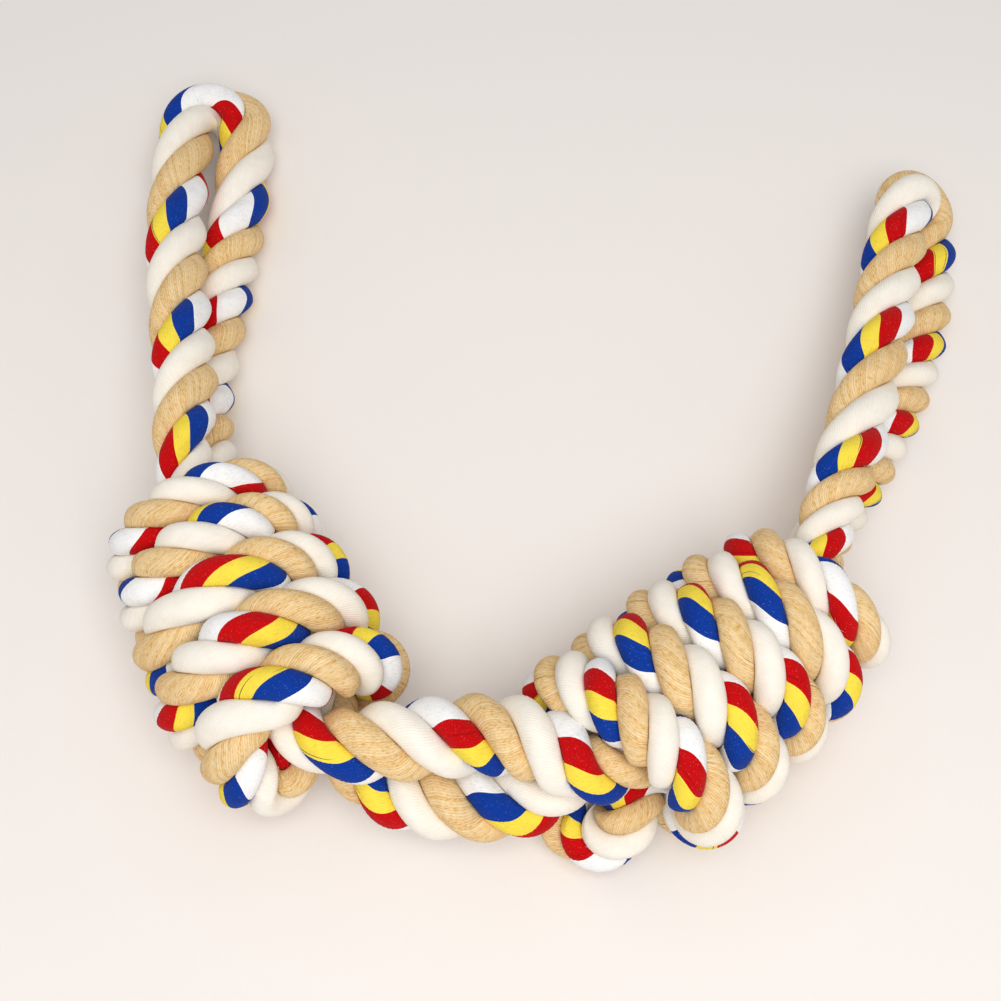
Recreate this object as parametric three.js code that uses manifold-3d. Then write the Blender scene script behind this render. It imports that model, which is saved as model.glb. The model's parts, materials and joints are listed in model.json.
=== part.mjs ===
// Rope dog toy: one thick three-strand rope, knotted twice, with a pulled-out hand loop past each knot.
// The rope runs from its hidden end in the left knot over to the right knot, round the right hand loop,
// five turns round its own three passes, back to the left knot, and there the same again.
// Millimetres, +Z up. The toy lies on the ground, with both knots flattened where they rest.

import * as THREE from "three";
import Module from "manifold-3d";
import { mergeVertices } from "three/addons/utils/BufferGeometryUtils.js";

// Rope sizes
const ROPE_DIAMETER = 25;
const LOOP_DIAMETER = 22;
const RUN_SHARE = 0.97;
const EASE_SHARE = 0.9;
const REST_SHARE = 0.1;
const RUN_RADIUS = (ROPE_DIAMETER * RUN_SHARE) / 2;
const LOOP_RADIUS = LOOP_DIAMETER / 2;
const GROUND_CUT = LOOP_DIAMETER * REST_SHARE;

// Clearances
const TURN_GAP = 1.3;
const CORE_GAP = 0.9;
const PASS_GAP = 1;
const JOINT_GAP = 0.3;

// Knot sizes: each is a barrel of turns round three passes of the same rope
const BARREL_DIAMETER = 84.4;
const BARREL_SHRINK_SHARE = 0.17;
const PASS_SHRINK_SHARE = 0.06;
const PASS_LAY_SHARE = 1.06;

// How finely the rope is drawn
const FINE_STEP = 1;
const BEND_PER_RING = 15;
const TUBE_SIDES = 10;
const WINDING_SIDES = 6;
const SMOOTHING_REACH = 5;
const HELIX_STEPS_PER_TURN = 36;
const PASS_STEPS = 12;
const CURVE_DIVISIONS = 24;
const HOOP_STEPS = 8;

// Cutting block for the flat where a knot rests
const CUT_BLOCK = 400;

const radians = THREE.MathUtils.degToRad;
const point = (x, y, z) => new THREE.Vector3(x, y, z);

// Where each knot lies, which way it points, and how the rope is wound in it.
// Angles round a knot start at its left side, seen from its inner end, and go over the top.
const LEFT_KNOT = {
  place: point(-66, -110.5, 0),
  axisAngle: 118,
  turnAngle: 114,
  pitch: 21.9,
  startAngle: 50,
  startAdvance: 4,
  sweep: 1592,
  passAngles: { first: 80, run: 200, turn: 320 },
  passTwist: -140,
  turnLeaves: 4,
  runLeaves: 0,
  legLeaves: 4,
  tuckReturns: 14,
  tuck: [
    { beyond: 6, radius: 24, angle: 240 },
    { beyond: 6.5, radius: 15.5, angle: 275 },
  ],
};
const RIGHT_KNOT = {
  place: point(38.5, -121.5, 0),
  axisAngle: 41,
  turnAngle: 42,
  pitch: 22,
  startAngle: -10,
  startAdvance: 0.6,
  sweep: 1590,
  passAngles: { first: 130, turn: 250, run: 10 },
  passTwist: -160,
  turnLeaves: 7,
  runLeaves: 2,
  firstLeaves: 8,
  legLeaves: 4,
  tuckReturns: 12,
  tuck: [
    { beyond: 6, radius: 24, angle: 183 },
    { beyond: 5, radius: 16, angle: 203 },
  ],
};

// The two hidden ends of the rope, in the left knot's core
const HIDDEN_START = 30;
const TUCKED_END = 42;

// The sizes that follow from a knot's own values
function knotFrom(spec) {
  const lean = Math.cos(radians(spec.axisAngle - spec.turnAngle));
  const wound = spec.pitch * lean - TURN_GAP;
  const outer = BARREL_DIAMETER / 2;
  const turnRadius = outer - wound / 2;
  const room = turnRadius * lean - wound / 2 - CORE_GAP;
  const spread = PASS_LAY_SHARE / Math.sqrt(3);
  const passDiameter = (room - PASS_GAP * spread) / (1 / 2 + spread);
  const knot = {
    ...spec,
    wound,
    turnRadius,
    passDiameter,
    passRadius: (passDiameter + PASS_GAP) * spread,
    height: outer - GROUND_CUT,
    axis: point(Math.cos(radians(spec.axisAngle)), Math.sin(radians(spec.axisAngle)), 0),
    side: point(-Math.sin(radians(spec.turnAngle)), Math.cos(radians(spec.turnAngle)), 0),
  };
  knot.length = advance(knot, knot.sweep);
  return knot;
}

// How far along its axis a knot's turns have come after an angle
function advance(knot, angle) {
  const share = angle / knot.sweep;
  const turns = knot.sweep / 360;
  return knot.startAdvance + knot.pitch * turns * (share - (BARREL_SHRINK_SHARE * share ** 3) / 3);
}

// A knot narrows towards its outer end
const narrowing = (share) => 1 - BARREL_SHRINK_SHARE * share ** 2;
const passNarrowing = (share) => narrowing(share) * (1 - PASS_SHRINK_SHARE * share);

function inKnot(knot, along, radius, angle) {
  const place = knot.place.clone().addScaledVector(knot.axis, along);
  place.z = knot.height * narrowing(along / knot.length);
  place.addScaledVector(knot.side, radius * Math.cos(radians(angle)));
  place.z += radius * Math.sin(radians(angle));
  return place;
}

// The turns of a knot, from its inner end outwards
function turnsOf(knot) {
  const steps = Math.round((knot.sweep / 360) * HELIX_STEPS_PER_TURN);
  return Array.from({ length: steps + 1 }, (unused, index) => {
    const share = index / steps;
    const size = narrowing(share);
    const angle = knot.sweep * share;
    const at = inKnot(knot, advance(knot, angle), knot.turnRadius * size, knot.startAngle + angle);
    return { at, radius: (knot.wound / 2) * size };
  });
}

// A place on one of the three passes through a knot's core
function passPlace(knot, name, along) {
  const share = along / knot.length;
  const size = passNarrowing(share);
  const angle = knot.passAngles[name] + knot.passTwist * share;
  const at = inKnot(knot, along, knot.passRadius * size, angle);
  return { at, radius: (knot.passDiameter / 2) * size };
}

// A stretch of such a pass, between two places along the knot
function passOf(knot, name, from, to) {
  return Array.from({ length: PASS_STEPS + 1 }, (unused, index) =>
    passPlace(knot, name, from + ((to - from) * index) / PASS_STEPS),
  );
}

// The half circle at the tip of a hand loop, from one leg to the other
function hoop(from, to, towards) {
  const centre = from.clone().add(to).divideScalar(2);
  const arm = from.clone().sub(centre);
  const tip = towards.clone().projectOnPlane(arm).setLength(arm.length());
  return Array.from({ length: HOOP_STEPS + 1 }, (unused, index) => {
    const turn = (Math.PI * index) / HOOP_STEPS;
    const at = centre.clone();
    at.addScaledVector(arm, Math.cos(turn));
    at.addScaledVector(tip, Math.sin(turn));
    return { at, radius: LOOP_RADIUS };
  });
}

const EASED_SHARES = [EASE_SHARE];
const stretch = (points, radius, shares) =>
  points.map((at, index) => ({ at, radius: radius * (shares ? shares[index] : 1) }));

// The bight where a pass comes out of the core and turns back into the first turn of the winding
function bight(knot, points, shares) {
  return stretch(points, knot.wound / 2, shares);
}

// The last turn goes round the outer end of the knot and back into the core
function tuckOf(knot) {
  return knot.tuck.map((part) => ({
    at: inKnot(knot, knot.length + part.beyond, part.radius, part.angle),
    radius: (knot.wound / 2) * narrowing(1) * EASE_SHARE,
  }));
}

// The route of the whole rope, piece by piece in order along it
function routeOf(left, right) {
  const leftLegs = left.length - left.legLeaves;
  const rightLegs = right.length - right.legLeaves;
  const leftTuck = left.length - left.tuckReturns;
  const rightTuck = right.length - right.tuckReturns;
  return {
    upper_run: [
      passOf(left, "first", HIDDEN_START, 0),
      stretch(
        [
          point(-58.5, -118, 53.5),
          point(-47, -119, 54.5),
          point(-30, -117.3, 54),
          point(-12, -116, 54.5),
          point(4, -116.5, 57),
          point(17, -121.8, 59),
          point(28.5, -128.8, 55),
        ],
        RUN_RADIUS,
        [0.82, 0.96, 1, 1, 1, 0.98, 0.82],
      ),
    ],
    right_core_first_pass: [passOf(right, "first", right.firstLeaves, rightLegs)],
    right_hand_loop: [
      [passPlace(right, "first", rightLegs)],
      stretch([point(120.5, -27, 26.5)], LOOP_RADIUS, EASED_SHARES),
      stretch(
        [
          point(133, -6, 21.5),
          point(148.5, 20, 15),
          point(162.5, 48, 11.3),
          point(172, 75, 11.2),
          point(178, 100, 11.2),
        ],
        LOOP_RADIUS,
      ),
      hoop(point(181.2, 121, 11.3), point(166.2, 118.5, 30.8), point(0.25, 1, 0)),
      stretch(
        [
          point(158, 90, 32.5),
          point(149, 58, 36),
          point(139.5, 27.5, 40),
          point(129, -3, 45.5),
        ],
        LOOP_RADIUS,
      ),
      stretch([point(119, -27, 49)], LOOP_RADIUS, EASED_SHARES),
    ],
    right_core_turn_pass: [passOf(right, "turn", rightLegs, right.turnLeaves + right.wound)],
    right_knot_winding: [
      passOf(right, "turn", right.turnLeaves + right.wound, right.turnLeaves),
      bight(
        right,
        [
          point(45, -129.5, 28.5),
          point(42.5, -137, 23.5),
          point(35, -140.5, 17),
          point(26, -135, 12.3),
          point(17.5, -121, 13),
          point(16.5, -107, 22),
        ],
        [0.89, 0.94, 0.97, 0.99, 1, 1],
      ),
      turnsOf(right),
      tuckOf(right),
      passOf(right, "run", rightTuck, rightTuck - right.wound),
    ],
    right_core_run_pass: [passOf(right, "run", rightTuck - right.wound, right.runLeaves)],
    lower_run: [
      [passPlace(right, "run", right.runLeaves)],
      stretch(
        [
          point(25, -118.5, 37),
          point(16.5, -127.8, 34.8),
          point(4, -131, 32.5),
          point(-12, -130.5, 30),
          point(-28, -128, 28),
          point(-42, -122.5, 29),
          point(-50.5, -114.5, 33),
        ],
        RUN_RADIUS,
        [0.78, 0.91, 1, 1, 1, 0.97, 0.83],
      ),
    ],
    left_core_run_pass: [passOf(left, "run", left.runLeaves, leftLegs)],
    left_hand_loop: [
      [passPlace(left, "run", leftLegs)],
      stretch([point(-117, 0, 45)], LOOP_RADIUS, EASED_SHARES),
      stretch(
        [
          point(-119.5, 28, 41),
          point(-126, 62, 35),
          point(-132.5, 98, 29.5),
          point(-136, 133, 24),
          point(-137.3, 158, 20),
        ],
        LOOP_RADIUS,
      ),
      hoop(point(-137.2, 177, 17), point(-112.2, 177, 11.5), point(0, 1, 0)),
      stretch(
        [
          point(-112, 158, 11.2),
          point(-112.5, 133, 11.2),
          point(-115, 98, 11.2),
          point(-118, 62, 11.6),
          point(-117.5, 28, 17),
        ],
        LOOP_RADIUS,
      ),
      stretch([point(-110.5, 2, 25)], LOOP_RADIUS, EASED_SHARES),
    ],
    left_core_turn_pass: [passOf(left, "turn", leftLegs, left.turnLeaves + left.wound)],
    left_knot_winding: [
      passOf(left, "turn", left.turnLeaves + left.wound, left.turnLeaves),
      bight(
        left,
        [
          point(-69.5, -116, 30.5),
          point(-72, -121.5, 27),
          point(-78, -124, 27),
          point(-84, -124.5, 34),
          point(-87, -123, 48),
        ],
        [0.93, 0.96, 0.98, 1, 1],
      ),
      turnsOf(left),
      tuckOf(left),
      passOf(left, "first", leftTuck, leftTuck - left.wound),
    ],
    left_tucked_end: [passOf(left, "first", leftTuck - left.wound, TUCKED_END)],
  };
}

// The rope's centre line and radius at even steps, each with the piece that it belongs to
function fineRope(route) {
  const controls = [];
  for (const [piece, parts] of Object.entries(route)) {
    for (const control of parts.flat()) {
      const last = controls.at(-1);
      if (last && last.at.distanceTo(control.at) < JOINT_GAP) {
        last.piece = piece;
      } else {
        controls.push({ ...control, piece });
      }
    }
  }
  const curve = new THREE.CatmullRomCurve3(controls.map((control) => control.at), false, "centripetal");
  curve.arcLengthDivisions = controls.length * CURVE_DIVISIONS;
  const count = Math.round(curve.getLength() / FINE_STEP);
  const line = Array.from({ length: count + 1 }, (unused, index) => {
    const share = curve.getUtoTmapping(index / count);
    const position = share * (controls.length - 1);
    const before = Math.min(Math.floor(position), controls.length - 2);
    const from = controls[before];
    const to = controls[before + 1];
    const radius = THREE.MathUtils.lerp(from.radius, to.radius, position - before);
    const at = curve.getPoint(share);
    return { at: new THREE.Vector4(at.x, at.y, at.z, radius), piece: from.piece };
  });
  return withFrames(smoothed(smoothed(line)));
}

// A rope is too stiff for a sharp corner, so each place moves to the mean of its neighbours
function smoothed(line) {
  return line.map((entry, index) => {
    const reach = Math.min(SMOOTHING_REACH, index, line.length - 1 - index);
    const mean = new THREE.Vector4(0, 0, 0, 0);
    for (let near = index - reach; near <= index + reach; near += 1) {
      mean.add(line[near].at);
    }
    return { ...entry, at: mean.divideScalar(2 * reach + 1) };
  });
}

// A direction along the rope and one across it at each place, the second carried along without twist
function withFrames(line) {
  const places = line.map((entry) => point(entry.at.x, entry.at.y, entry.at.z));
  let across = point(0, 0, 1);
  let length = 0;
  return line.map((entry, index) => {
    const before = places[Math.max(index - 1, 0)];
    const after = places[Math.min(index + 1, places.length - 1)];
    const along = after.clone().sub(before).normalize();
    across = across.clone().projectOnPlane(along).normalize();
    length += index ? places[index].distanceTo(places[index - 1]) : 0;
    return { at: places[index], radius: entry.at.w, piece: entry.piece, along, across, length };
  });
}

// Rings of points closer together where the rope bends, a diameter apart where it is straight
function ringPlaces(line) {
  const load = [0];
  for (let index = 1; index < line.length; index += 1) {
    const step = line[index].length - line[index - 1].length;
    const bend = line[index].along.angleTo(line[index - 1].along);
    const share = Math.max(bend / radians(BEND_PER_RING), step / (2 * line[index].radius));
    load.push(load[index - 1] + share);
  }
  const count = Math.ceil(load.at(-1));
  return Array.from({ length: count + 1 }, (unused, ring) => {
    const wanted = (load.at(-1) * ring) / count;
    const index = load.findIndex((value) => value >= wanted);
    return line[index < 0 ? line.length - 1 : index];
  });
}

// A closed tube along one piece of the rope, with flat ends square to it
function tube(line, sides) {
  const rings = ringPlaces(line);
  const shift = JOINT_GAP / 2;
  const vertices = [];
  const faces = [];
  rings.forEach((place, ring) => {
    const centre = place.at.clone();
    if (ring === 0) {
      centre.addScaledVector(place.along, shift);
    }
    if (ring === rings.length - 1) {
      centre.addScaledVector(place.along, -shift);
    }
    const over = point(0, 0, 0).crossVectors(place.along, place.across);
    for (let side = 0; side < sides; side += 1) {
      const turn = (2 * Math.PI * side) / sides;
      const vertex = centre.clone();
      vertex.addScaledVector(place.across, place.radius * Math.cos(turn));
      vertex.addScaledVector(over, place.radius * Math.sin(turn));
      vertices.push(...vertex.toArray());
    }
  });
  for (let ring = 0; ring < rings.length - 1; ring += 1) {
    for (let side = 0; side < sides; side += 1) {
      const next = (side + 1) % sides;
      const here = ring * sides;
      const there = here + sides;
      faces.push(here + side, here + next, there + side);
      faces.push(here + next, there + next, there + side);
    }
  }
  const end = (rings.length - 1) * sides;
  for (let side = 1; side < sides - 1; side += 1) {
    faces.push(0, side + 1, side);
    faces.push(end, end + side, end + side + 1);
  }
  const geometry = new THREE.BufferGeometry();
  geometry.setAttribute("position", new THREE.Float32BufferAttribute(vertices, 3));
  geometry.setIndex(faces);
  return geometry;
}

// The least gap of a winding to itself: between places over two diameters apart along it
function leastSelfGap(line) {
  let least = Infinity;
  line.forEach((here, index) => {
    for (let other = index + 1; other < line.length; other += 1) {
      const there = line[other];
      if (there.length - here.length > 2 * (here.radius + there.radius)) {
        const gap = here.at.distanceTo(there.at) - here.radius - there.radius;
        least = Math.min(least, gap);
      }
    }
  });
  return least;
}

const wasm = await Module();
wasm.setup();

function toSolid(geometry) {
  const bare = geometry.clone();
  bare.deleteAttribute("normal");
  bare.deleteAttribute("uv");
  const merged = mergeVertices(bare);
  const mesh = new wasm.Mesh({
    numProp: 3,
    vertProperties: new Float32Array(merged.attributes.position.array),
    triVerts: new Uint32Array(merged.index.array),
  });
  return new wasm.Manifold(mesh);
}

function fromSolid(solid) {
  const mesh = solid.getMesh();
  const geometry = new THREE.BufferGeometry();
  geometry.setAttribute("position", new THREE.Float32BufferAttribute(mesh.vertProperties, 3));
  geometry.setIndex(Array.from(mesh.triVerts));
  return geometry;
}

// A knot rests on the ground on small flats
function flattened(geometry) {
  const ground = new THREE.BoxGeometry(CUT_BLOCK, CUT_BLOCK, CUT_BLOCK);
  ground.translate(0, 0, -CUT_BLOCK / 2);
  return fromSolid(toSolid(geometry).subtract(toSolid(ground)));
}

const rope = new THREE.MeshStandardMaterial({ color: 0xe9dcc3, roughness: 0.9, metalness: 0 });
rope.name = "laid cotton rope";

const leftKnot = knotFrom(LEFT_KNOT);
const rightKnot = knotFrom(RIGHT_KNOT);
const route = routeOf(leftKnot, rightKnot);
const wholeRope = fineRope(route);

const toy = new THREE.Group();
toy.name = "rope_dog_toy";
for (const piece of Object.keys(route)) {
  const line = wholeRope.filter(
    (place, index) => place.piece === piece || wholeRope[index - 1]?.piece === piece,
  );
  const wound = piece.endsWith("winding");
  let geometry = tube(line, wound ? WINDING_SIDES : TUBE_SIDES);
  if (wound) {
    console.log(`${piece}: least gap to itself ${leastSelfGap(line).toFixed(2)} mm`);
    geometry = flattened(geometry);
  }
  geometry.computeVertexNormals();
  const mesh = new THREE.Mesh(geometry, rope);
  mesh.name = piece;
  toy.add(mesh);
}

// The origin is at the middle of the toy, on the ground that it lies on
const extent = new THREE.Box3().setFromObject(toy);
const middle = extent.getCenter(point(0, 0, 0));
toy.children.forEach((mesh) => mesh.position.set(-middle.x, -middle.y, -extent.min.z));

export default toy;
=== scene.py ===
# Rope dog toy: one thick rope of three laid cotton strands, with two wound knots and two hand loops.
# It is laid out as a Blender add-on and run as a script.

import json
import math

import bpy
import numpy as np
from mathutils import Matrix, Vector

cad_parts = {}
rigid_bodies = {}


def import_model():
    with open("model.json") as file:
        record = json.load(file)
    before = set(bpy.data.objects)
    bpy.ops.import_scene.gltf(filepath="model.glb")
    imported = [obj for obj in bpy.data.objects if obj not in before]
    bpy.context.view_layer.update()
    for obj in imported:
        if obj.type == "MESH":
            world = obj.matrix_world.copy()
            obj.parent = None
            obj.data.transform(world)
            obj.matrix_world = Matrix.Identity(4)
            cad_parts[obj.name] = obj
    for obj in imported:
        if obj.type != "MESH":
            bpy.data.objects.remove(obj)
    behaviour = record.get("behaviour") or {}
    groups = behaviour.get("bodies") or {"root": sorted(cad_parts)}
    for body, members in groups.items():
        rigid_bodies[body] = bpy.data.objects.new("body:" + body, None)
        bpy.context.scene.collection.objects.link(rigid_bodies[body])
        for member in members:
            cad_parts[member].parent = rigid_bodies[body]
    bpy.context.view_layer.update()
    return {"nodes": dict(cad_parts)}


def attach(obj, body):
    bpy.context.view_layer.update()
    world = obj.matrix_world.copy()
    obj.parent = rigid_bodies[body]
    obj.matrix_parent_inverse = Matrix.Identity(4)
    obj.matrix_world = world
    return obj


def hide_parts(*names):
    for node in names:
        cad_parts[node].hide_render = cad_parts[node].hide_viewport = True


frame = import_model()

bl_info = {
    "name": "Rope dog toy",
    "version": (1, 0, 0),
    "blender": (4, 5, 0),
    "location": "3D View > Sidebar > Rope toy",
    "description": "Lays the strands of a knotted cotton rope toy and sets its stage",
    "category": "Object",
}

MM = 0.001

# Rope and knot sizes in millimetres, as in the part's own source
ROPE_DIAMETER = 25
LOOP_DIAMETER = 22
RUN_SHARE = 0.97
EASE_SHARE = 0.9
REST_SHARE = 0.1
RUN_RADIUS = ROPE_DIAMETER * RUN_SHARE / 2
LOOP_RADIUS = LOOP_DIAMETER / 2
GROUND_CUT = LOOP_DIAMETER * REST_SHARE
TURN_GAP = 1.3
CORE_GAP = 0.9
PASS_GAP = 1
JOINT_GAP = 0.3
BARREL_DIAMETER = 84.4
BARREL_SHRINK_SHARE = 0.17
PASS_SHRINK_SHARE = 0.06
PASS_LAY_SHARE = 1.06
FINE_STEP = 1
SMOOTHING_REACH = 5
HELIX_STEPS_PER_TURN = 36
PASS_STEPS = 12
HOOP_STEPS = 8
HIDDEN_START = 30
TUCKED_END = 42

# Where each knot lies and how it is wound, as in the part's own source
LEFT_KNOT = {
    "place": (-66, -110.5, 0),
    "axis_angle": 118,
    "turn_angle": 114,
    "pitch": 21.9,
    "start_angle": 50,
    "start_advance": 4,
    "sweep": 1592,
    "pass_angles": {"first": 80, "run": 200, "turn": 320},
    "pass_twist": -140,
    "turn_leaves": 4,
    "run_leaves": 0,
    "leg_leaves": 4,
    "tuck_returns": 14,
    "tuck": [(6, 24, 240), (6.5, 15.5, 275)],
}
RIGHT_KNOT = {
    "place": (38.5, -121.5, 0),
    "axis_angle": 41,
    "turn_angle": 42,
    "pitch": 22,
    "start_angle": -10,
    "start_advance": 0.6,
    "sweep": 1590,
    "pass_angles": {"first": 130, "turn": 250, "run": 10},
    "pass_twist": -160,
    "turn_leaves": 7,
    "run_leaves": 2,
    "first_leaves": 8,
    "leg_leaves": 4,
    "tuck_returns": 12,
    "tuck": [(6, 24, 183), (5, 16, 203)],
}

# Points of the open stretches, each with its share of the stretch's radius
UPPER_RUN = [
    (-58.5, -118, 53.5, 0.82),
    (-47, -119, 54.5, 0.96),
    (-30, -117.3, 54, 1),
    (-12, -116, 54.5, 1),
    (4, -116.5, 57, 1),
    (17, -121.8, 59, 0.98),
    (28.5, -128.8, 55, 0.82),
]
LOWER_RUN = [
    (25, -118.5, 37, 0.78),
    (16.5, -127.8, 34.8, 0.91),
    (4, -131, 32.5, 1),
    (-12, -130.5, 30, 1),
    (-28, -128, 28, 1),
    (-42, -122.5, 29, 0.97),
    (-50.5, -114.5, 33, 0.83),
]
RIGHT_LEG_UP = [
    (120.5, -27, 26.5, 0.9),
    (133, -6, 21.5, 1),
    (148.5, 20, 15, 1),
    (162.5, 48, 11.3, 1),
    (172, 75, 11.2, 1),
    (178, 100, 11.2, 1),
]
RIGHT_HOOP = ((181.2, 121, 11.3), (166.2, 118.5, 30.8), (0.25, 1, 0))
RIGHT_LEG_DOWN = [
    (158, 90, 32.5, 1),
    (149, 58, 36, 1),
    (139.5, 27.5, 40, 1),
    (129, -3, 45.5, 1),
    (119, -27, 49, 0.9),
]
RIGHT_BIGHT = [
    (45, -129.5, 28.5, 0.89),
    (42.5, -137, 23.5, 0.94),
    (35, -140.5, 17, 0.97),
    (26, -135, 12.3, 0.99),
    (17.5, -121, 13, 1),
    (16.5, -107, 22, 1),
]
LEFT_LEG_UP = [
    (-117, 0, 45, 0.9),
    (-119.5, 28, 41, 1),
    (-126, 62, 35, 1),
    (-132.5, 98, 29.5, 1),
    (-136, 133, 24, 1),
    (-137.3, 158, 20, 1),
]
LEFT_HOOP = ((-137.2, 177, 17), (-112.2, 177, 11.5), (0, 1, 0))
LEFT_LEG_DOWN = [
    (-112, 158, 11.2, 1),
    (-112.5, 133, 11.2, 1),
    (-115, 98, 11.2, 1),
    (-118, 62, 11.6, 1),
    (-117.5, 28, 17, 1),
    (-110.5, 2, 25, 0.9),
]
LEFT_BIGHT = [
    (-69.5, -116, 30.5, 0.93),
    (-72, -121.5, 27, 0.96),
    (-78, -124, 27, 0.98),
    (-84, -124.5, 34, 1),
    (-87, -123, 48, 1),
]

# Shift from the route's own numbers to the part's origin under the middle of the toy
MIDDLE = (-21.84, -25.47, 0)

# Where the striped strand comes to the front, in millimetres along the rope, and what is in its middle
# there, in turns round the strand: 0 is red, 0.2 yellow, 0.4 blue and 0.7 white. None is at the back or
# under another turn, where its colours can't be seen
STRIPED_CROWNS = [
    (43, 0.11),
    (91, 0.99),
    (130, 0.1),
    (336, 0.82),
    (376, 0.89),
    (419, 0.01),
    (491, 0.94),
    (550, 0.09),
    (617, 0.18),
    (760, None),
    (794, 0.23),
    (825, None),
    (857, 0.14),
    (888, 0.14),
    (919, 0),
    (1047, None),
    (1080, 0.35),
    (1119, 0.27),
    (1247, None),
    (1280, 0.43),
    (1318, 0.26),
    (1439, None),
    (1473, 0.44),
    (1533, 0.98),
    (1590, None),
    (1626, 0.12),
    (1662, 0.91),
    (1846, 0.45),
    (1891, 0.37),
    (2036, 0.19),
    (2091, 0.38),
    (2157, 0.4),
    (2246, 0),
    (2309, 0.64),
    (2354, 0.84),
    (2410, 0.98),
    (2554, None),
    (2593, 0.56),
    (2636, 0.41),
    (2675, None),
    (2796, None),
    (2834, 0.11),
    (2984, None),
    (3036, 0.29),
    (3082, None),
    (3191, 0.8),
    (3229, 0.68),
    (3272, None),
    (3372, None),
    (3411, 0.89),
    (3470, None),
]

# The usual length of lay from each place on, both in millimetres
LAYS = [(0, 48), (150, 42), (290, 60), (650, 36), (950, 40), (1800, 46), (1990, 60), (2430, 41), (2650, 42)]
LAY_EASING = 9
YARN_TURNS_PER_LAY = 2
# Yarns are pressed together on a strand's crown, and lie wider inside the rope
YARN_CROWDING = 0.2

# How a strand lies in the rope
STRANDS = 3
WALL_SOFTNESS = 12
BEND_LIMIT = 0.9
RING_STEP = 1.25
STRAND_SIDES = 28
REST_HEIGHT = 0.2
UNEVEN_SHARE = 0.025
UNEVEN_LENGTHS = (61, 37, 23)
# Where a spoke hardly leans towards a neighbouring strand, the wall between them is as good as not there
LEAST_LEAN = 0.01
FAR_WALL = 99
# A bend gentler than this, per metre, counts as straight
LEAST_BEND = 1e-9

# Materials, with their patterns' sizes in millimetres
MATH = "ShaderNodeMath"
NOISE = "ShaderNodeTexNoise"
MIX = "ShaderNodeMix"
PAPER_GRAIN = 1.1
YARN_MAP = "yarns"
STRAND_ROUND = 42
WANDER_LENGTH = 14
WANDER_TURNS = 0.02
# Cotton fibres are a fifteenth of this width, which wouldn't show
FIBRE_WIDTH = 0.3
FIBRE_LENGTH = 1.4
FIBRE_RELIEF = 0.08
FIBRE_COLOUR_SHARE = 0.85
PURE_WHITE = (1, 1, 1, 1)
SPECK_WIDTH = 0.6
SPECK_LEVEL = 0.69
BLOTCH_WIDTH = 5
BLOTCH_SHARE = 0.35
STRAY_LENGTH = 19
STRAY_SPREAD = 0.12
COTTON_ROUGHNESS = 0.8
FIBRE_ROUGHNESS = 0.16
COTTON_SPECULAR = 0.12
COTTON_SHEEN = 0.03
SHEEN_ROUGHNESS = 0.5
PAPER_RELIEF = 0.01
PAPER_ROUGHNESS = 0.95
PAPER_SPECULAR = 0.1

# Loose fibres on the strands: the radius of each in millimetres, its parts and its sides
FUZZ_RADIUS = 0.04
FUZZ_PARTS = 4
FUZZ_SIDES = 3
FUZZ_SEED = 7
# Most fibres stand near the crown, some lean across the strand, and each rises, curls and thins
FUZZ_SPREAD = STRAND_SIDES / 7
FUZZ_CROSSING = 0.7
FUZZ_SHORTEST = 0.25
FUZZ_CURLS = (-0.6, 0.9)
FUZZ_RISE = 0.42
FUZZ_REACH = 0.9
FUZZ_THICK_END = 1.1

# Where the camera stands and what it looks at, in millimetres
CAMERA_PLACE = (-21.84, -303.57, 523)
CAMERA_TARGET = (-21.84, -25.47, 0)
FOCAL_PIXELS = 1500
PICTURE_PIXELS = 1001
SENSOR_WIDTH = 36

# The lamp and the floor, in metres
KEY_PLACE = (0.05, -0.54, 1)
KEY_SIZE = 0.75
FLOOR_SIZE = 6


def linear(code):
    """The linear colour of an sRGB hex value."""
    parts = [int(code[i : i + 2], 16) / 255 for i in (1, 3, 5)]
    return tuple(c / 12.92 if c <= 0.04045 else ((c + 0.055) / 1.055) ** 2.4 for c in parts)


def colour_property(name, about, code):
    """A colour that a user can change, with its default from an sRGB hex value."""
    return bpy.props.FloatVectorProperty(
        name=name, description=about, subtype="COLOR", size=3, min=0, max=1, default=linear(code)
    )


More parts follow.
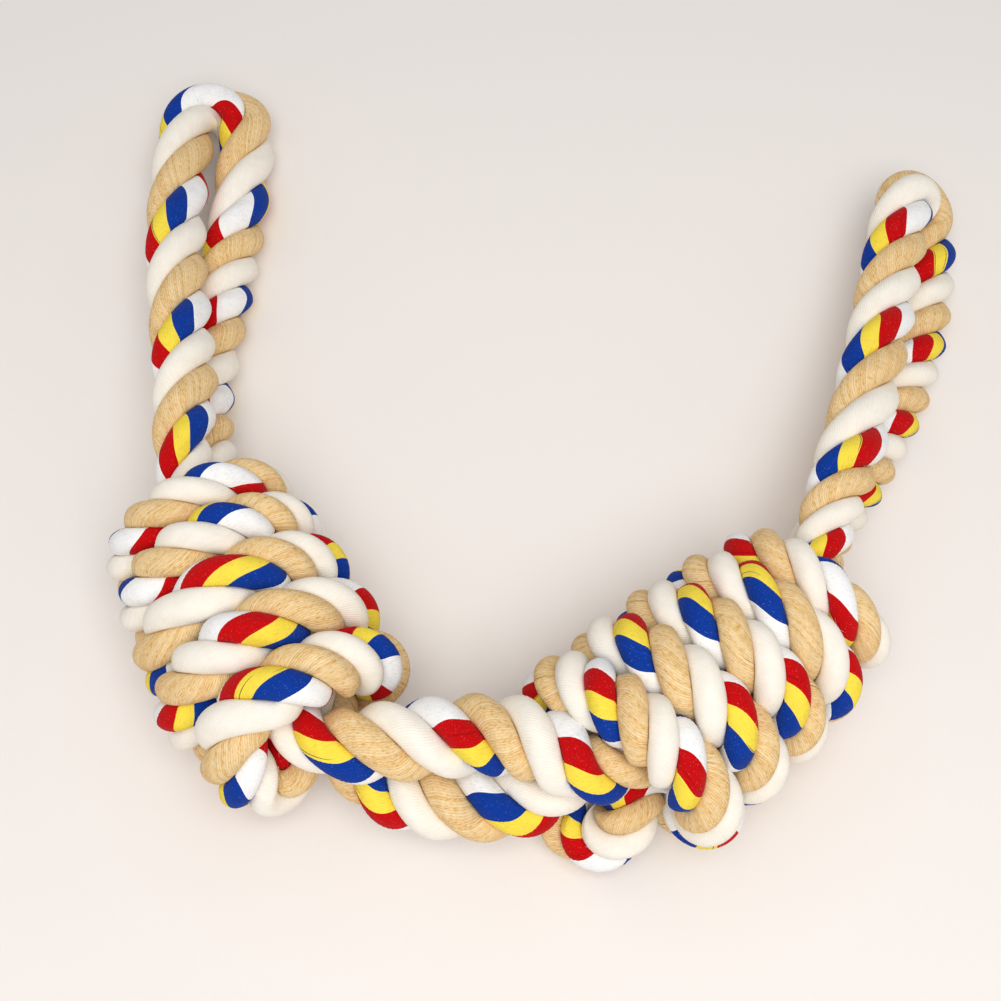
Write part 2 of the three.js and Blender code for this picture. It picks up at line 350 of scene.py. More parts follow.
class RopeToySettings(bpy.types.PropertyGroup):
    """The sizes and colours of the rope toy."""

    fullness: bpy.props.FloatProperty(
        name="Fullness",
        description="How far the strands' crowns stand out, as a share of the plain rope's radius",
        default=1.13,
        min=0.8,
        max=1.2,
        subtype="FACTOR",
    )
    centre_share: bpy.props.FloatProperty(
        name="Strand centre",
        description="How far a strand's middle lies from the rope's, as a share of the rope's radius",
        default=0.4,
        min=0.3,
        max=0.6,
        subtype="FACTOR",
    )
    yarn_width: bpy.props.FloatProperty(
        name="Yarn width",
        description="Width of one spun yarn on a strand",
        default=0.95 * MM,
        min=0.3 * MM,
        max=4 * MM,
        unit="LENGTH",
        precision=5,
    )
    fibre_count: bpy.props.IntProperty(
        name="Fibres", description="Loose fibres on each strand", default=1100, min=1, max=20000
    )
    fibre_length: bpy.props.FloatProperty(
        name="Fibre length",
        description="Length of the longest loose fibres",
        default=2.6 * MM,
        min=0.5 * MM,
        max=20 * MM,
        unit="LENGTH",
        precision=5,
    )
    cream: colour_property("Cream", "Bleached cotton of the cream strand", "#FCF5E9")
    tan: colour_property("Tan", "Dyed cotton of the tan strand", "#F1CA8B")
    red: colour_property("Red", "Red yarns of the striped strand", "#C50409")
    yellow: colour_property("Yellow", "Yellow yarns of the striped strand", "#FBE04C")
    blue: colour_property("Blue", "Blue yarns of the striped strand", "#083898")
    white: colour_property("White", "White yarns of the striped strand", "#FAF9F8")
    floor: colour_property("Floor", "Pale paper under the toy", "#F3EDE8")
    key_power: bpy.props.FloatProperty(
        name="Lamp", description="Power of the soft lamp", default=8.1, min=0, max=200, unit="POWER"
    )
    surroundings: bpy.props.FloatProperty(
        name="Surroundings", description="Strength of the even light", default=0.5, min=0, max=5
    )


# The route of the rope
def knot_from(spec):
    """A knot's own values and the sizes that follow from them."""
    knot = dict(spec)
    lean = math.cos(math.radians(spec["axis_angle"] - spec["turn_angle"]))
    outer = BARREL_DIAMETER / 2
    spread = PASS_LAY_SHARE / math.sqrt(3)
    knot["wound"] = spec["pitch"] * lean - TURN_GAP
    knot["turn_radius"] = outer - knot["wound"] / 2
    room = knot["turn_radius"] * lean - knot["wound"] / 2 - CORE_GAP
    knot["pass_diameter"] = (room - PASS_GAP * spread) / (1 / 2 + spread)
    knot["pass_radius"] = (knot["pass_diameter"] + PASS_GAP) * spread
    knot["height"] = outer - GROUND_CUT
    axis, side = math.radians(spec["axis_angle"]), math.radians(spec["turn_angle"])
    knot["axis"] = np.array([math.cos(axis), math.sin(axis), 0])
    knot["side"] = np.array([-math.sin(side), math.cos(side), 0])
    knot["length"] = advance(knot, spec["sweep"])
    return knot


def advance(knot, angle):
    """How far along its axis a knot's turns have come after an angle."""
    share = angle / knot["sweep"]
    turns = knot["sweep"] / 360
    grown = share - BARREL_SHRINK_SHARE * share**3 / 3
    return knot["start_advance"] + knot["pitch"] * turns * grown


def narrowing(share):
    """How much of its full size a knot has at a share of its length."""
    return 1 - BARREL_SHRINK_SHARE * share**2


def in_knot(knot, along, radius, angle):
    """A place in a knot from its distance along the axis, its radius and its angle."""
    turn = math.radians(angle)
    place = np.array(knot["place"], float) + knot["axis"] * along
    place[2] = knot["height"] * narrowing(along / knot["length"])
    place += knot["side"] * radius * math.cos(turn)
    place[2] += radius * math.sin(turn)
    return place


def turns_of(knot):
    """The turns of a knot, from its inner end outwards."""
    steps = round(knot["sweep"] / 360 * HELIX_STEPS_PER_TURN)
    controls = []
    for index in range(steps + 1):
        share = index / steps
        size = narrowing(share)
        angle = knot["sweep"] * share
        along = advance(knot, angle)
        at = in_knot(knot, along, knot["turn_radius"] * size, knot["start_angle"] + angle)
        controls.append((*at, knot["wound"] / 2 * size))
    return controls


def pass_place(knot, name, along):
    """A place on one of the three passes through a knot's core."""
    share = along / knot["length"]
    size = narrowing(share) * (1 - PASS_SHRINK_SHARE * share)
    angle = knot["pass_angles"][name] + knot["pass_twist"] * share
    at = in_knot(knot, along, knot["pass_radius"] * size, angle)
    return (*at, knot["pass_diameter"] / 2 * size)


def pass_of(knot, name, start, end):
    """One pass through a knot's core, from one distance along its axis to another."""
    places = np.linspace(start, end, PASS_STEPS + 1)
    return [pass_place(knot, name, along) for along in places]


def hoop(start, end, towards):
    """The half circle at the tip of a hand loop, from one leg to the other."""
    start, end, towards = (np.array(p, float) for p in (start, end, towards))
    centre = (start + end) / 2
    arm = start - centre
    reach = np.linalg.norm(arm)
    tip = towards - arm * (towards @ arm) / reach**2
    tip *= reach / np.linalg.norm(tip)
    turns = np.linspace(0, math.pi, HOOP_STEPS + 1)
    return [(*(centre + arm * math.cos(t) + tip * math.sin(t)), LOOP_RADIUS) for t in turns]


def stretch(points, radius):
    """An open stretch's points with their radius."""
    return [(x, y, z, radius * share) for x, y, z, share in points]


def tuck_of(knot):
    """The last turn goes round the outer end of the knot and back into the core."""
    radius = knot["wound"] / 2 * narrowing(1) * EASE_SHARE
    return [(*in_knot(knot, knot["length"] + b, r, a), radius) for b, r, a in knot["tuck"]]


def route_of(left, right):
    """Each piece of the rope in order along it, as points with a radius."""
    left_legs = left["length"] - left["leg_leaves"]
    right_legs = right["length"] - right["leg_leaves"]
    left_tuck = left["length"] - left["tuck_returns"]
    right_tuck = right["length"] - right["tuck_returns"]
    left_turn = left["turn_leaves"] + left["wound"]
    right_turn = right["turn_leaves"] + right["wound"]
    return {
        "upper_run": pass_of(left, "first", HIDDEN_START, 0) + stretch(UPPER_RUN, RUN_RADIUS),
        "right_core_first_pass": pass_of(right, "first", right["first_leaves"], right_legs),
        "right_hand_loop": (
            [pass_place(right, "first", right_legs)]
            + stretch(RIGHT_LEG_UP, LOOP_RADIUS)
            + hoop(*RIGHT_HOOP)
            + stretch(RIGHT_LEG_DOWN, LOOP_RADIUS)
        ),
        "right_core_turn_pass": pass_of(right, "turn", right_legs, right_turn),
        "right_knot_winding": (
            pass_of(right, "turn", right_turn, right["turn_leaves"])
            + stretch(RIGHT_BIGHT, right["wound"] / 2)
            + turns_of(right)
            + tuck_of(right)
            + pass_of(right, "run", right_tuck, right_tuck - right["wound"])
        ),
        "right_core_run_pass": pass_of(right, "run", right_tuck - right["wound"], right["run_leaves"]),
        "lower_run": [pass_place(right, "run", right["run_leaves"])] + stretch(LOWER_RUN, RUN_RADIUS),
        "left_core_run_pass": pass_of(left, "run", left["run_leaves"], left_legs),
        "left_hand_loop": (
            [pass_place(left, "run", left_legs)]
            + stretch(LEFT_LEG_UP, LOOP_RADIUS)
            + hoop(*LEFT_HOOP)
            + stretch(LEFT_LEG_DOWN, LOOP_RADIUS)
        ),
        "left_core_turn_pass": pass_of(left, "turn", left_legs, left_turn),
        "left_knot_winding": (
            pass_of(left, "turn", left_turn, left["turn_leaves"])
            + stretch(LEFT_BIGHT, left["wound"] / 2)
            + turns_of(left)
            + tuck_of(left)
            + pass_of(left, "first", left_tuck, left_tuck - left["wound"])
        ),
        "left_tucked_end": pass_of(left, "first", left_tuck - left["wound"], TUCKED_END),
    }


def curve_through(controls):
    """A centripetal curve through the controls, at even steps, each with its radius."""
    p = np.array(controls, float)
    ends = np.vstack([2 * p[0] - p[1], p, 2 * p[-1] - p[-2]])
    rows = []
    for a, b, c, d in zip(ends[:-3], ends[1:-2], ends[2:-1], ends[3:]):
        gaps = [math.sqrt(np.linalg.norm((q - o)[:3])) for o, q in ((a, b), (b, c), (c, d))]
        t0, t1 = 0, gaps[0]
        t2 = t1 + gaps[1]
        t3 = t2 + gaps[2]
        count = max(2, math.ceil(2 * gaps[1] ** 2 / FINE_STEP))
        t = np.linspace(t1, t2, count, endpoint=False)[:, None]
        ab = (t1 - t) / (t1 - t0) * a + (t - t0) / (t1 - t0) * b
        bc = (t2 - t) / (t2 - t1) * b + (t - t1) / (t2 - t1) * c
        cd = (t3 - t) / (t3 - t2) * c + (t - t2) / (t3 - t2) * d
        abc = (t2 - t) / (t2 - t0) * ab + (t - t0) / (t2 - t0) * bc
        bcd = (t3 - t) / (t3 - t1) * bc + (t - t1) / (t3 - t1) * cd
        row = (t2 - t) / (t2 - t1) * abc + (t - t1) / (t2 - t1) * bcd
        row[:, 3] = b[3] + (c[3] - b[3]) * ((t - t1) / (t2 - t1))[:, 0]
        rows.append(row)
    return evenly(np.vstack([*rows, p[-1:]]), FINE_STEP)


def lengths_along(line):
    """The length along a line up to each of its points."""
    steps = np.linalg.norm(np.diff(line[:, :3], axis=0), axis=1)
    return np.concatenate([[0], np.cumsum(steps)])


def evenly(line, step):
    """The same line with its points about a step apart."""
    along = lengths_along(line)
    wanted = np.linspace(0, along[-1], round(along[-1] / step) + 1)
    return np.stack([np.interp(wanted, along, column) for column in line.T], axis=1)


def smoothed(line):
    """Each place moves to the mean of its neighbours, as a rope is too stiff for a corner."""
    out = line.copy()
    for index in range(len(line)):
        reach = min(SMOOTHING_REACH, index, len(line) - 1 - index)
        out[index] = line[index - reach : index + reach + 1].mean(axis=0)
    return out


def unit(v):
    """Directions of length one."""
    return v / np.linalg.norm(v, axis=-1, keepdims=True)


def rope_line():
    """The rope's middle line with its radius and its directions, in metres in the part's frame."""
    controls = []
    for points in route_of(knot_from(LEFT_KNOT), knot_from(RIGHT_KNOT)).values():
        for control in points:
            if controls and math.dist(controls[-1][:3], control[:3]) < JOINT_GAP:
                continue
            controls.append(control)
    line = smoothed(smoothed(curve_through(controls)))
    line[:, :3] += MIDDLE
    line = evenly(line, RING_STEP) * MM
    at, radius = line[:, :3], line[:, 3]
    along = unit(np.gradient(at, axis=0))
    across = np.zeros_like(at)
    carried = np.array([0, 0, 1.0])
    for index, direction in enumerate(along):
        carried = unit(carried - direction * (carried @ direction))
        across[index] = carried
    bend = np.gradient(along, axis=0) / (RING_STEP * MM)
    rope = {
        "at": at,
        "radius": radius,
        "along": along,
        "across": across,
        "over": np.cross(along, across),
        "bend": bend,
        "length": lengths_along(at),
    }
    rope["turned"], rope["yarns"] = lay_angles(rope)
    return rope


def lay_angles(rope):
    """How far the striped strand has turned round the rope, and its yarns round it, in turns."""
    along = rope["length"] / MM
    starts, lays = np.array(LAYS).T
    lay = lays[np.searchsorted(starts, along, side="right") - 1]
    usual = np.concatenate([[0], np.cumsum(np.diff(along) / lay[1:])])
    front = np.array(CAMERA_PLACE) * MM - rope["at"]
    facing = np.arctan2((front * rope["over"]).sum(axis=1), (front * rope["across"]).sum(axis=1))
    crowns = [crown for crown, _ in STRIPED_CROWNS]
    places = np.searchsorted(along, crowns)
    wanted = usual[places[0]]
    turned = []
    for number, place in enumerate(places):
        if number:
            wanted = turned[-1] + usual[place] - usual[places[number - 1]]
        front_turn = facing[place] / (2 * math.pi)
        turned.append(front_turn + round(wanted - front_turn))
    seen = [(c, s - YARN_TURNS_PER_LAY * t) for (c, s), t in zip(STRIPED_CROWNS, turned) if s is not None]
    marks, drift = np.array(seen).T
    drift = np.unwrap(drift, period=1)
    first = turned[0] - usual[places[0]]
    last = turned[-1] + usual[-1] - usual[places[-1]]
    turned = eased(np.interp(along, [0, *crowns, along[-1]], [first, *turned, last]))
    drift = eased(np.interp(along, marks, drift))
    return turned, YARN_TURNS_PER_LAY * turned + drift


def eased(values):
    """A running mean, so that the lay changes gradually."""
    padded = np.pad(values, LAY_EASING, mode="reflect", reflect_type="odd")
    width = 2 * LAY_EASING + 1
    return np.convolve(padded, np.ones(width) / width, mode="valid")


def uneven(length, start):
    """A slow change of size along a strand, as no two places on a soft strand are alike."""
    waves = [np.sin(2 * math.pi * length / (w * MM) + start * w) for w in UNEVEN_LENGTHS]
    return 1 + UNEVEN_SHARE * sum(waves) / len(waves)


def strand_rings(rope, number, settings):
    """A strand's middle line and the points round it at every ring."""
    centre = settings.centre_share
    radius = rope["radius"] * settings.fullness
    lead = 2 * math.pi * (rope["turned"] - number / STRANDS)
    beta = np.linspace(-math.pi, math.pi, STRAND_SIDES, endpoint=False)
    facing = np.abs(np.sin(beta)) - math.sqrt(3) * np.cos(beta)
    wall = math.sqrt(3) * centre / np.maximum(facing, LEAST_LEAN)
    wall = np.where(facing > LEAST_LEAN, wall, FAR_WALL)
    full = (1 - centre) * uneven(rope["length"], number + 1)[:, None]
    reach = (full**-WALL_SOFTNESS + wall[None] ** -WALL_SOFTNESS) ** (-1 / WALL_SOFTNESS)
    out = np.cos(lead)[:, None] * rope["across"] + np.sin(lead)[:, None] * rope["over"]
    side = np.cross(rope["along"], out)
    spoke = np.cos(beta)[None, :, None] * out[:, None] + np.sin(beta)[None, :, None] * side[:, None]
    offset = out[:, None] * centre + spoke * reach[:, :, None]
    offset = offset * radius[:, None, None]
    # The inside of a bend is pressed flat, so that the rings there don't cross
    sharp = np.linalg.norm(rope["bend"], axis=1)
    inward = rope["bend"] / np.maximum(sharp, LEAST_BEND)[:, None]
    deep = np.einsum("ijk,ik->ij", offset, inward)
    limit = BEND_LIMIT / np.maximum(sharp, LEAST_BEND)
    offset -= inward[:, None] * np.maximum(deep - limit[:, None], 0)[:, :, None]
    rings = rope["at"][:, None] + offset
    rings[:, :, 2] = np.maximum(rings[:, :, 2], REST_HEIGHT * MM)
    return rope["at"] + out * (centre * radius)[:, None], rings


def crowded(share):
    """Where the yarns lie round a strand, closer together on its crown."""
    return share + YARN_CROWDING * np.sin(2 * math.pi * share) / (2 * math.pi)


def ring_faces(rings, sides):
    """The faces between rings of a tube, as rows of four corners, with each corner's ring and side."""
    ring, side = np.meshgrid(np.arange(rings - 1), np.arange(sides), indexing="ij")
    ring, side = ring.ravel(), side.ravel()
    low, high = ring * sides, (ring + 1) * sides
    after = (side + 1) % sides
    faces = np.stack([low + side, low + after, high + after, high + side], axis=1)
    step = np.stack([ring, ring, ring + 1, ring + 1], axis=1)
    around = np.stack([side, side + 1, side + 1, side], axis=1)
    return faces, step, around


def mesh_piece(name, corners, faces, uvs, material):
    """A smooth mesh with yarn coordinates at its corners, which rides with the toy."""
    mesh = bpy.data.meshes.new(name)
    mesh.from_pydata(corners.tolist(), [], faces)
    mesh.polygons.foreach_set("use_smooth", np.ones(len(mesh.polygons), bool))
    mesh.uv_layers.new(name=YARN_MAP).data.foreach_set("uv", uvs.ravel())
    mesh.materials.append(material)
    mesh.update()
    piece = bpy.data.objects.new(name, mesh)
    bpy.context.scene.collection.objects.link(piece)
    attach(piece, "root")
    return piece


def lay_strand(name, rope, number, settings, material):
    """One strand of the rope as a closed tube along its own line."""
    _, rings = strand_rings(rope, number, settings)
    count = len(rings)
    ends = np.stack([rings[0].mean(axis=0), rings[-1].mean(axis=0)])
    corners = np.vstack([rings.reshape(-1, 3), ends])
    faces, step, around = ring_faces(count, STRAND_SIDES)
    u = crowded(around / STRAND_SIDES - 0.5) + rope["yarns"][step]
    uvs = np.stack([u.ravel(), rope["length"][step].ravel()], axis=1)
    last = (count - 1) * STRAND_SIDES
    caps = []
    for i in range(STRAND_SIDES):
        after = (i + 1) % STRAND_SIDES
        caps += [(count * STRAND_SIDES, after, i), (count * STRAND_SIDES + 1, last + i, last + after)]
    uvs = np.vstack([uvs, np.zeros((3 * len(caps), 2))])
    piece = mesh_piece(name, corners, faces.tolist() + caps, uvs, material)
    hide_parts(*frame["nodes"])
    return piece


def raise_fibres(name, rope, number, settings, material):
    """Short loose fibres that stand off a strand, each a thin curved tube in the colour under it."""
    chance = np.random.default_rng(FUZZ_SEED + number)
    middle, rings = strand_rings(rope, number, settings)
    count = settings.fibre_count
    ring = chance.integers(1, len(rings) - 1, count)
    outer = (STRAND_SIDES // 2 + chance.normal(0, FUZZ_SPREAD, count).astype(int)) % STRAND_SIDES
    root = rings[ring, outer]
    normal = unit(root - middle[ring])
    along = rope["along"][ring]
    lean = along * chance.normal(0, 1, (count, 1))
    lean = unit(lean + np.cross(along, normal) * chance.normal(0, FUZZ_CROSSING, (count, 1)))
    length = settings.fibre_length * chance.uniform(FUZZ_SHORTEST, 1, (count, 1))
    curl = chance.uniform(*FUZZ_CURLS, (count, 1))
    share = np.linspace(0, 1, FUZZ_PARTS)
    spine = [
        root + length * (normal * FUZZ_RISE * (s - curl * s * s) + lean * FUZZ_REACH * s) for s in share
    ]
    spine = np.stack(spine, axis=1)
    across = unit(np.cross(normal, lean))
    angles = 2 * math.pi * np.arange(FUZZ_SIDES) / FUZZ_SIDES
    rim = [across * math.cos(t) + normal * math.sin(t) for t in angles]
    rim = np.stack(rim, axis=1) * FUZZ_RADIUS * MM
    thin = (FUZZ_THICK_END - share)[None, :, None, None]
    corners = (spine[:, :, None] + rim[:, None] * thin).reshape(-1, 3)
    faces, _, _ = ring_faces(FUZZ_PARTS, FUZZ_SIDES)
    starts = np.arange(count) * FUZZ_PARTS * FUZZ_SIDES
    every = (faces[None] + starts[:, None, None]).reshape(-1, 4)
    u = crowded(outer / STRAND_SIDES - 0.5) + rope["yarns"][ring]
    uvs = np.stack([u, rope["length"][ring]], axis=1)
    uvs = np.repeat(uvs, faces.size, axis=0)
    corners[:, 2] = np.maximum(corners[:, 2], REST_HEIGHT * MM)
    return mesh_piece(name, corners, every.tolist(), uvs, material)


def declare_strand(rope, number, settings):
    """Works out a strand's middle line, and keeps nothing from it."""
    middle, _ = strand_rings(rope, number, settings)


def add_node(material, kind, inputs=(), **settings):
    """Adds a node with its settings, sets or links its inputs, and returns its first output."""
    node = material.node_tree.nodes.new(kind)
    for key, value in settings.items():
        setattr(node, key, value)
    for socket, value in inputs.items() if isinstance(inputs, dict) else enumerate(inputs):
        if isinstance(value, bpy.types.NodeSocket):
            material.node_tree.links.new(value, node.inputs[socket])
        else:
            node.inputs[socket].default_value = value
    return node.outputs[0]


def set_ramp(ramp, colours, interpolation):
    """Gives a colour ramp its stops."""
    ramp.interpolation = interpolation
    for stop, _ in colours[1:-1]:
        ramp.elements.new(stop)
    for element, (stop, code) in zip(ramp.elements, colours):
        element.position = stop
        element.color = (*code, 1)


def spun_cotton(name, cotton, settings):
    """Spun cotton: matt and soft, with yarns side by side and fine fibres along them."""
    m = bpy.data.materials.new(name)
    m.use_nodes = True
    yarns = round(STRAND_ROUND * MM / settings.yarn_width)
    round_place = add_node(m, "ShaderNodeSeparateXYZ", [add_node(m, "ShaderNodeUVMap", uv_map=YARN_MAP)])
    length_place = round_place.node.outputs[1]
    where = add_node(m, "ShaderNodeTexCoord").node.outputs["Object"]
    # Yarns wander a little, as they aren't quite parallel
    wander = add_node(m, NOISE, {"Vector": where, "Scale": 1 / (WANDER_LENGTH * MM), "Detail": 2})
    turn = add_node(m, MATH, [wander, WANDER_TURNS, round_place], operation="MULTIPLY_ADD")
    turn = add_node(m, MATH, [turn], operation="FRACT")
    place = add_node(m, MATH, [turn, yarns], operation="MULTIPLY")
    number = add_node(m, MATH, [place], operation="FLOOR")
    within = add_node(m, MATH, [place], operation="FRACT")
    chance = add_node(m, "ShaderNodeTexWhiteNoise", {"W": number}, noise_dimensions="1D")
    across = add_node(m, MATH, [within, 2, -1], operation="MULTIPLY_ADD")
    groove = add_node(m, MATH, [across, across], operation="MULTIPLY")
    # Fibres lie along the yarns, so their pattern is drawn out that way
    over = add_node(m, MATH, [round_place, STRAND_ROUND / FIBRE_WIDTH], operation="MULTIPLY")
    down = add_node(m, MATH, [length_place, 1 / (FIBRE_LENGTH * MM)], operation="MULTIPLY")
    drawn_out = add_node(m, "ShaderNodeCombineXYZ", [over, down])
    fibre = add_node(m, NOISE, {"Vector": drawn_out, "Scale": 1, "Detail": 3}, noise_dimensions="2D")
    blotch = add_node(m, NOISE, {"Vector": where, "Scale": 1 / (BLOTCH_WIDTH * MM), "Detail": 2})
    # Dyed stripes go round the strand, and a plain strand goes from its dark fibres to its light ones
    shown = turn
    if not cotton["striped"]:
        mixed = add_node(m, MATH, [chance, 1 - FIBRE_COLOUR_SHARE], operation="MULTIPLY")
        shown = add_node(m, MATH, [fibre, FIBRE_COLOUR_SHARE, mixed], operation="MULTIPLY_ADD")
    base = add_node(m, "ShaderNodeValToRGB", [shown])
    set_ramp(base.node.color_ramp, cotton["colours"], "CONSTANT" if cotton["striped"] else "LINEAR")
    # Single stray threads come up here and there, thin at both ends
    reach = add_node(m, MATH, [length_place, 1 / (STRAY_LENGTH * MM), chance], operation="MULTIPLY_ADD")
    spot = add_node(m, MATH, [reach], operation="FLOOR")
    spot = add_node(m, "ShaderNodeCombineXYZ", [number, spot])
    luck = add_node(m, "ShaderNodeTexWhiteNoise", {"Vector": spot}, noise_dimensions="2D")
    luck = add_node(m, MATH, [luck, cotton["stray_share"]], operation="LESS_THAN")
    reach = add_node(m, MATH, [reach], operation="FRACT")
    reach = add_node(m, MATH, [reach, 2, -1], operation="MULTIPLY_ADD")
    reach = add_node(m, MATH, [reach, reach], operation="MULTIPLY")
    thin = add_node(m, MATH, [reach, -STRAY_SPREAD, STRAY_SPREAD], operation="MULTIPLY_ADD")
    stray = add_node(m, MATH, [groove, thin], operation="LESS_THAN")
    stray = add_node(m, MATH, [stray, luck], operation="MULTIPLY")
    strays = add_node(m, "ShaderNodeValToRGB", [shown])
    set_ramp(strays.node.color_ramp, cotton["strays"], "CONSTANT" if cotton["striped"] else "LINEAR")
    base = add_node(m, MIX, {0: stray, 6: base, 7: strays}, data_type="RGBA").node.outputs[2]
    # Broken fibres catch the light as small pale specks
    speck = add_node(m, NOISE, {"Vector": where, "Scale": 1 / (SPECK_WIDTH * MM), "Detail": 1})
    speck = add_node(m, MATH, [speck, SPECK_LEVEL], operation="GREATER_THAN")
    speck = add_node(m, MATH, [speck, cotton["speck_share"]], operation="MULTIPLY")
    base = add_node(m, MIX, {0: speck, 6: base, 7: PURE_WHITE}, data_type="RGBA").node.outputs[2]
    # Painted shade darkens the grooves between yarns, and some fibres and patches are darker at random, as
    # uneven cotton
    uneven_fibre = add_node(m, MATH, [fibre, 0.5], operation="SUBTRACT")
    uneven_patch = add_node(m, MATH, [blotch, 0.5], operation="SUBTRACT")
    # Painted shade in the grooves between yarns
    dark = add_node(m, MATH, [groove, cotton["groove_shade_share"]], operation="MULTIPLY")
    dark = add_node(m, MATH, [uneven_fibre, cotton["fibre_share"], dark], operation="MULTIPLY_ADD")
    dark = add_node(m, MATH, [uneven_patch, BLOTCH_SHARE, dark], operation="MULTIPLY_ADD")
    shade = (*cotton["shade"], 1)
    # Multiplies in the painted groove shade together with the random darker fibres and patches
    groove_shade_and_mottle = {0: dark, 6: base, 7: shade}
    groove_shade_and_mottle = add_node(m, MIX, groove_shade_and_mottle, data_type="RGBA", blend_type="MULTIPLY").node.outputs[2]
    # Relief in metres
    relief = add_node(m, MATH, [groove, -cotton["yarn_relief"] * MM], operation="MULTIPLY")
    relief = add_node(m, MATH, [fibre, FIBRE_RELIEF * MM, relief], operation="MULTIPLY_ADD")
    bump = add_node(m, "ShaderNodeBump", {"Height": relief, "Strength": 1, "Distance": 1})
    rough = add_node(m, MATH, [fibre, FIBRE_ROUGHNESS, COTTON_ROUGHNESS], operation="MULTIPLY_ADD")
    shader = m.node_tree.nodes["Principled BSDF"]
    m.node_tree.links.new(groove_shade_and_mottle, shader.inputs["Base Color"])
    m.node_tree.links.new(rough, shader.inputs["Roughness"])
    m.node_tree.links.new(bump, shader.inputs["Normal"])
    shader.inputs["Specular IOR Level"].default_value = COTTON_SPECULAR
    shader.inputs["Sheen Weight"].default_value = COTTON_SHEEN
    shader.inputs["Sheen Roughness"].default_value = SHEEN_ROUGHNESS
    return m


def toned(colour, share):
    """A colour made darker or lighter by a share."""
    return tuple(min(1.0, c * share) for c in colour)


def strand_materials(settings):
    """The materials of the striped, tan and cream strands, in the order of the lay."""
    s = settings
    red, yellow, blue, white, cream, tan = (
        tuple(c) for c in (s.red, s.yellow, s.blue, s.white, s.cream, s.tan)
    )
    # Where each stripe starts round the strand, with the red one on both sides of zero
    stops = (0, 0.11, 0.29, 0.525, 0.89)
    navy, worn_red, faded_blue = linear("#1B2238"), toned(red, 0.6), toned(blue, 1.5)
    # Dyed yarns in four bundles: strong flat colours with few fibres to be seen
    striped = {
        "striped": True,
        "colours": list(zip(stops, (red, yellow, blue, white, red))),
        "strays": list(zip(stops, (worn_red, navy, faded_blue, white, worn_red))),
        "stray_share": 0.02,
        "speck_share": 0.06,
        "shade": linear("#6A5E62"),
        # How strongly the grooves between yarns are darkened with painted shade
        "groove_shade_share": 0.08,
        "fibre_share": 0.7,
        "yarn_relief": 0.05,
    }
    # Tan cotton: golden brown and pale fibres side by side
    plain_tan = {
        "striped": False,
        "colours": [(0.28, linear("#C8974F")), (0.46, tan), (0.7, linear("#F6E4BE"))],
        "strays": [(0.3, linear("#8F6430")), (1, linear("#A87D48"))],
        "stray_share": 0.006,
        "speck_share": 0.1,
        "shade": linear("#9A7448"),
        # How strongly the grooves between yarns are darkened with painted shade
        "groove_shade_share": 0.2,
        "fibre_share": 0.4,
        "yarn_relief": 0.1,
    }
    # Bleached cotton: nearly smooth and bright
    plain_cream = {
        "striped": False,
        "colours": [(0.3, toned(cream, 0.95)), (0.5, cream), (0.7, toned(cream, 1.02))],
        "strays": [(0.3, linear("#D9CDB8")), (1, linear("#E8DDC8"))],
        "stray_share": 0.001,
        "speck_share": 0,
        "shade": linear("#CDBFA6"),
        # How strongly the grooves between yarns are darkened with painted shade
        "groove_shade_share": 0.14,
        "fibre_share": 0.3,
        "yarn_relief": 0.09,
    }
    return [
        spun_cotton("dyed_spun_cotton", striped, s),
        spun_cotton("tan_spun_cotton", plain_tan, s),
        spun_cotton("bleached_spun_cotton", plain_cream, s),
    ]


def floor_paper(settings):
    """Matt backdrop paper: pale, with a faint grain that breaks up the shadow's edge."""
    material = bpy.data.materials.new("matt_backdrop_paper")
    material.use_nodes = True
    where = add_node(material, "ShaderNodeTexCoord").node.outputs["Object"]
    grain = add_node(material, NOISE, {"Vector": where, "Scale": 1 / (PAPER_GRAIN * MM), "Detail": 2})
    bump = add_node(material, "ShaderNodeBump", {"Height": grain, "Distance": PAPER_RELIEF * MM})
    shader = material.node_tree.nodes["Principled BSDF"]
    shader.inputs["Base Color"].default_value = (*settings.floor, 1)
    shader.inputs["Roughness"].default_value = PAPER_ROUGHNESS
    shader.inputs["Specular IOR Level"].default_value = PAPER_SPECULAR
    material.node_tree.links.new(bump, shader.inputs["Normal"])
    return material


def link(name, data):
    """A new object in the scene."""
    thing = bpy.data.objects.new(name, data)
    bpy.context.scene.collection.objects.link(thing)
    return thing


def aim(thing, place, target):
    """Puts a camera or lamp at a place and points it at a target."""
    place, target = Vector(place), Vector(target)
    thing.location = place
    thing.rotation_euler = (target - place).to_track_quat("-Z", "Y").to_euler()


def set_stage(settings):
    """The floor, the light and the camera."""
    scene = bpy.context.scene
    half = FLOOR_SIZE / 2
    mesh = bpy.data.meshes.new("floor")
    corners = [(-half, -half, 0), (half, -half, 0), (half, half, 0), (-half, half, 0)]
    mesh.from_pydata(corners, [], [(0, 1, 2, 3)])
    mesh.materials.append(floor_paper(settings))
    link("floor", mesh)
    key = link("key", bpy.data.lights.new("key", "AREA"))
    key.data.energy = settings.key_power
    key.data.size = KEY_SIZE
    aim(key, KEY_PLACE, (0, 0, 0))
    world = bpy.data.worlds.new("studio")
    world.use_nodes = True
    background = world.node_tree.nodes["Background"]
    background.inputs["Color"].default_value = PURE_WHITE
    background.inputs["Strength"].default_value = settings.surroundings
    scene.world = world
    camera = link("camera", bpy.data.cameras.new("camera"))
    camera.data.sensor_width = SENSOR_WIDTH
    camera.data.lens = FOCAL_PIXELS * SENSOR_WIDTH / PICTURE_PIXELS
    aim(camera, Vector(CAMERA_PLACE) * MM, Vector(CAMERA_TARGET) * MM)
    scene.camera = camera
    scene.view_settings.view_transform = "Standard"


STRAND_NAMES = ("striped_strand", "tan_strand", "cream_strand")
FIBRE_NAMES = ("striped_fibres", "tan_fibres", "cream_fibres")


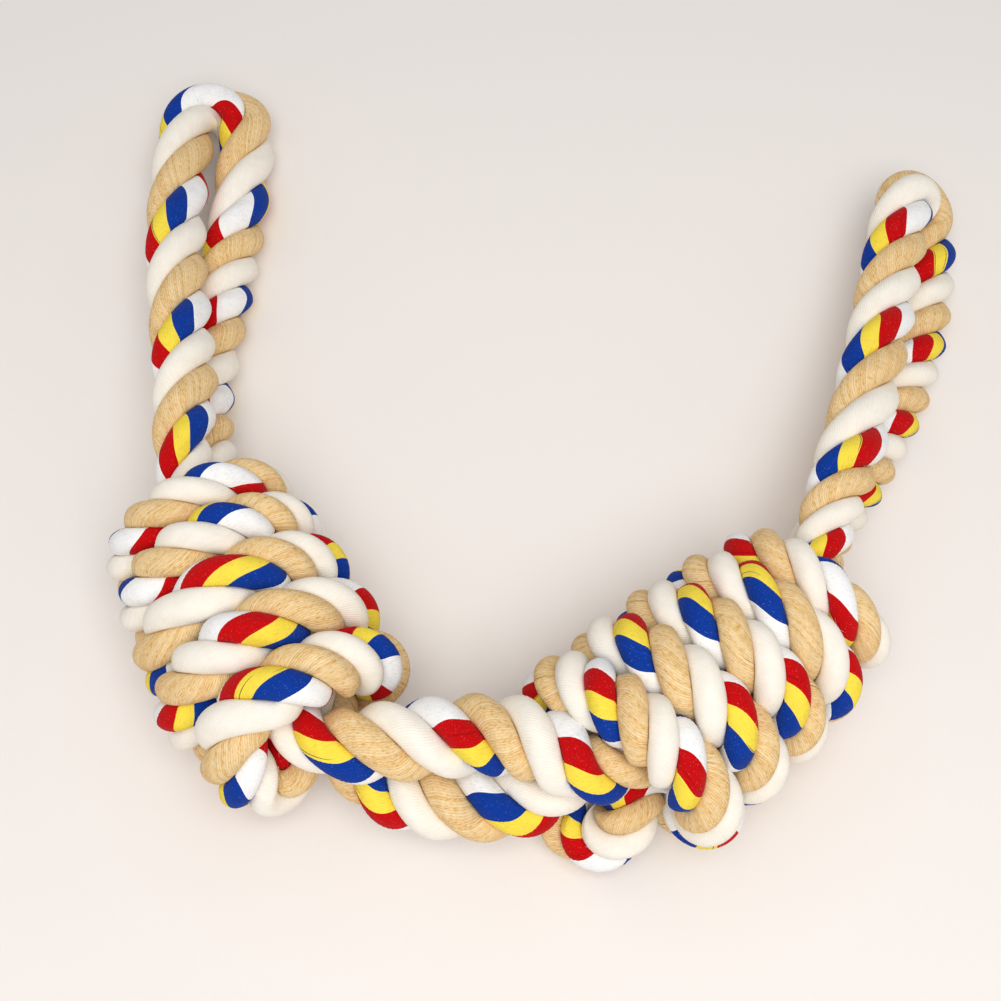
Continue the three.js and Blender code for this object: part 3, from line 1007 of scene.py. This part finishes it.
class ROPETOY_OT_lay_strands(bpy.types.Operator):
    """Lay the striped, tan and cream strands along the rope's route"""

    bl_idname = "ropetoy.lay_strands"
    bl_label = "Lay strands"

    def execute(self, context):
        settings = context.scene.rope_toy
        rope = rope_line()
        materials = strand_materials(settings)
        for number, name in enumerate(STRAND_NAMES):
            lay_strand(name, rope, number, settings, materials[number])
        return {"FINISHED"}


class ROPETOY_OT_raise_fibres(bpy.types.Operator):
    """Raise loose fibres on the strands"""

    bl_idname = "ropetoy.raise_fibres"
    bl_label = "Raise fibres"

    def execute(self, context):
        settings = context.scene.rope_toy
        rope = rope_line()
        for number, name in enumerate(FIBRE_NAMES):
            strand = bpy.data.objects[STRAND_NAMES[number]]
            fibres = raise_fibres(name, rope, number, settings, strand.data.materials[0])
            declare_strand(rope, number, settings)
        return {"FINISHED"}


class ROPETOY_OT_set_stage(bpy.types.Operator):
    """Set the floor, the light and the camera"""

    bl_idname = "ropetoy.set_stage"
    bl_label = "Set stage"

    def execute(self, context):
        set_stage(context.scene.rope_toy)
        return {"FINISHED"}


class ROPETOY_PT_panel(bpy.types.Panel):
    """The toy's settings and steps"""

    bl_label = "Rope toy"
    bl_idname = "ROPETOY_PT_panel"
    bl_space_type = "VIEW_3D"
    bl_region_type = "UI"
    bl_category = "Rope toy"

    def draw(self, context):
        settings = context.scene.rope_toy
        for name in settings.__annotations__:
            self.layout.prop(settings, name)
        for step in STEPS:
            self.layout.operator(step.bl_idname)


STEPS = (ROPETOY_OT_lay_strands, ROPETOY_OT_raise_fibres, ROPETOY_OT_set_stage)
CLASSES = (RopeToySettings, *STEPS, ROPETOY_PT_panel)


def register():
    """Adds the toy's settings, steps and panel."""
    for each in CLASSES:
        bpy.utils.register_class(each)
    bpy.types.Scene.rope_toy = bpy.props.PointerProperty(type=RopeToySettings)


def unregister():
    """Takes the toy's settings, steps and panel away."""
    del bpy.types.Scene.rope_toy
    for each in reversed(CLASSES):
        bpy.utils.unregister_class(each)


def main():
    """Runs the steps."""
    register()
    bpy.ops.ropetoy.lay_strands()
    bpy.ops.ropetoy.raise_fibres()
    bpy.ops.ropetoy.set_stage()


if __name__ == "__main__":
    main()
